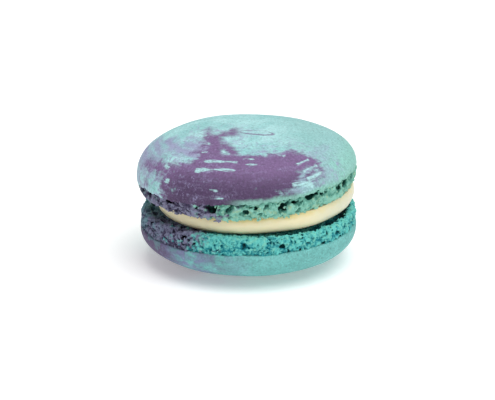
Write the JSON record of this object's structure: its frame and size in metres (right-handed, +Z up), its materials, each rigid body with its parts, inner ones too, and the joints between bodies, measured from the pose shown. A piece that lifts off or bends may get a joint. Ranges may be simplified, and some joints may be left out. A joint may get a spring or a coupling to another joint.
{
  "type": "french macaron",
  "caption": "Sandwich biscuit of two domed meringue shells with craggy feet and a buttercream disc between them.",
  "frame": {"origin": "centre of the flat spot on the lower shell's dome, which the macaron lies on", "axes": "+Z up through both shells, -Y the front that the picture shows, +X the front view's right"},
  "size_m": [0.0452, 0.045, 0.0281],
  "materials": {
    "shell": "matt baked almond meringue, pale turquoise marbled with purple",
    "buttercream": "smooth ivory buttercream with a soft sheen"
  },
  "bodies": {
    "root": {"lower_shell": "shell", "buttercream": "buttercream", "upper_shell": "shell"}
  },
  "joints": []
}
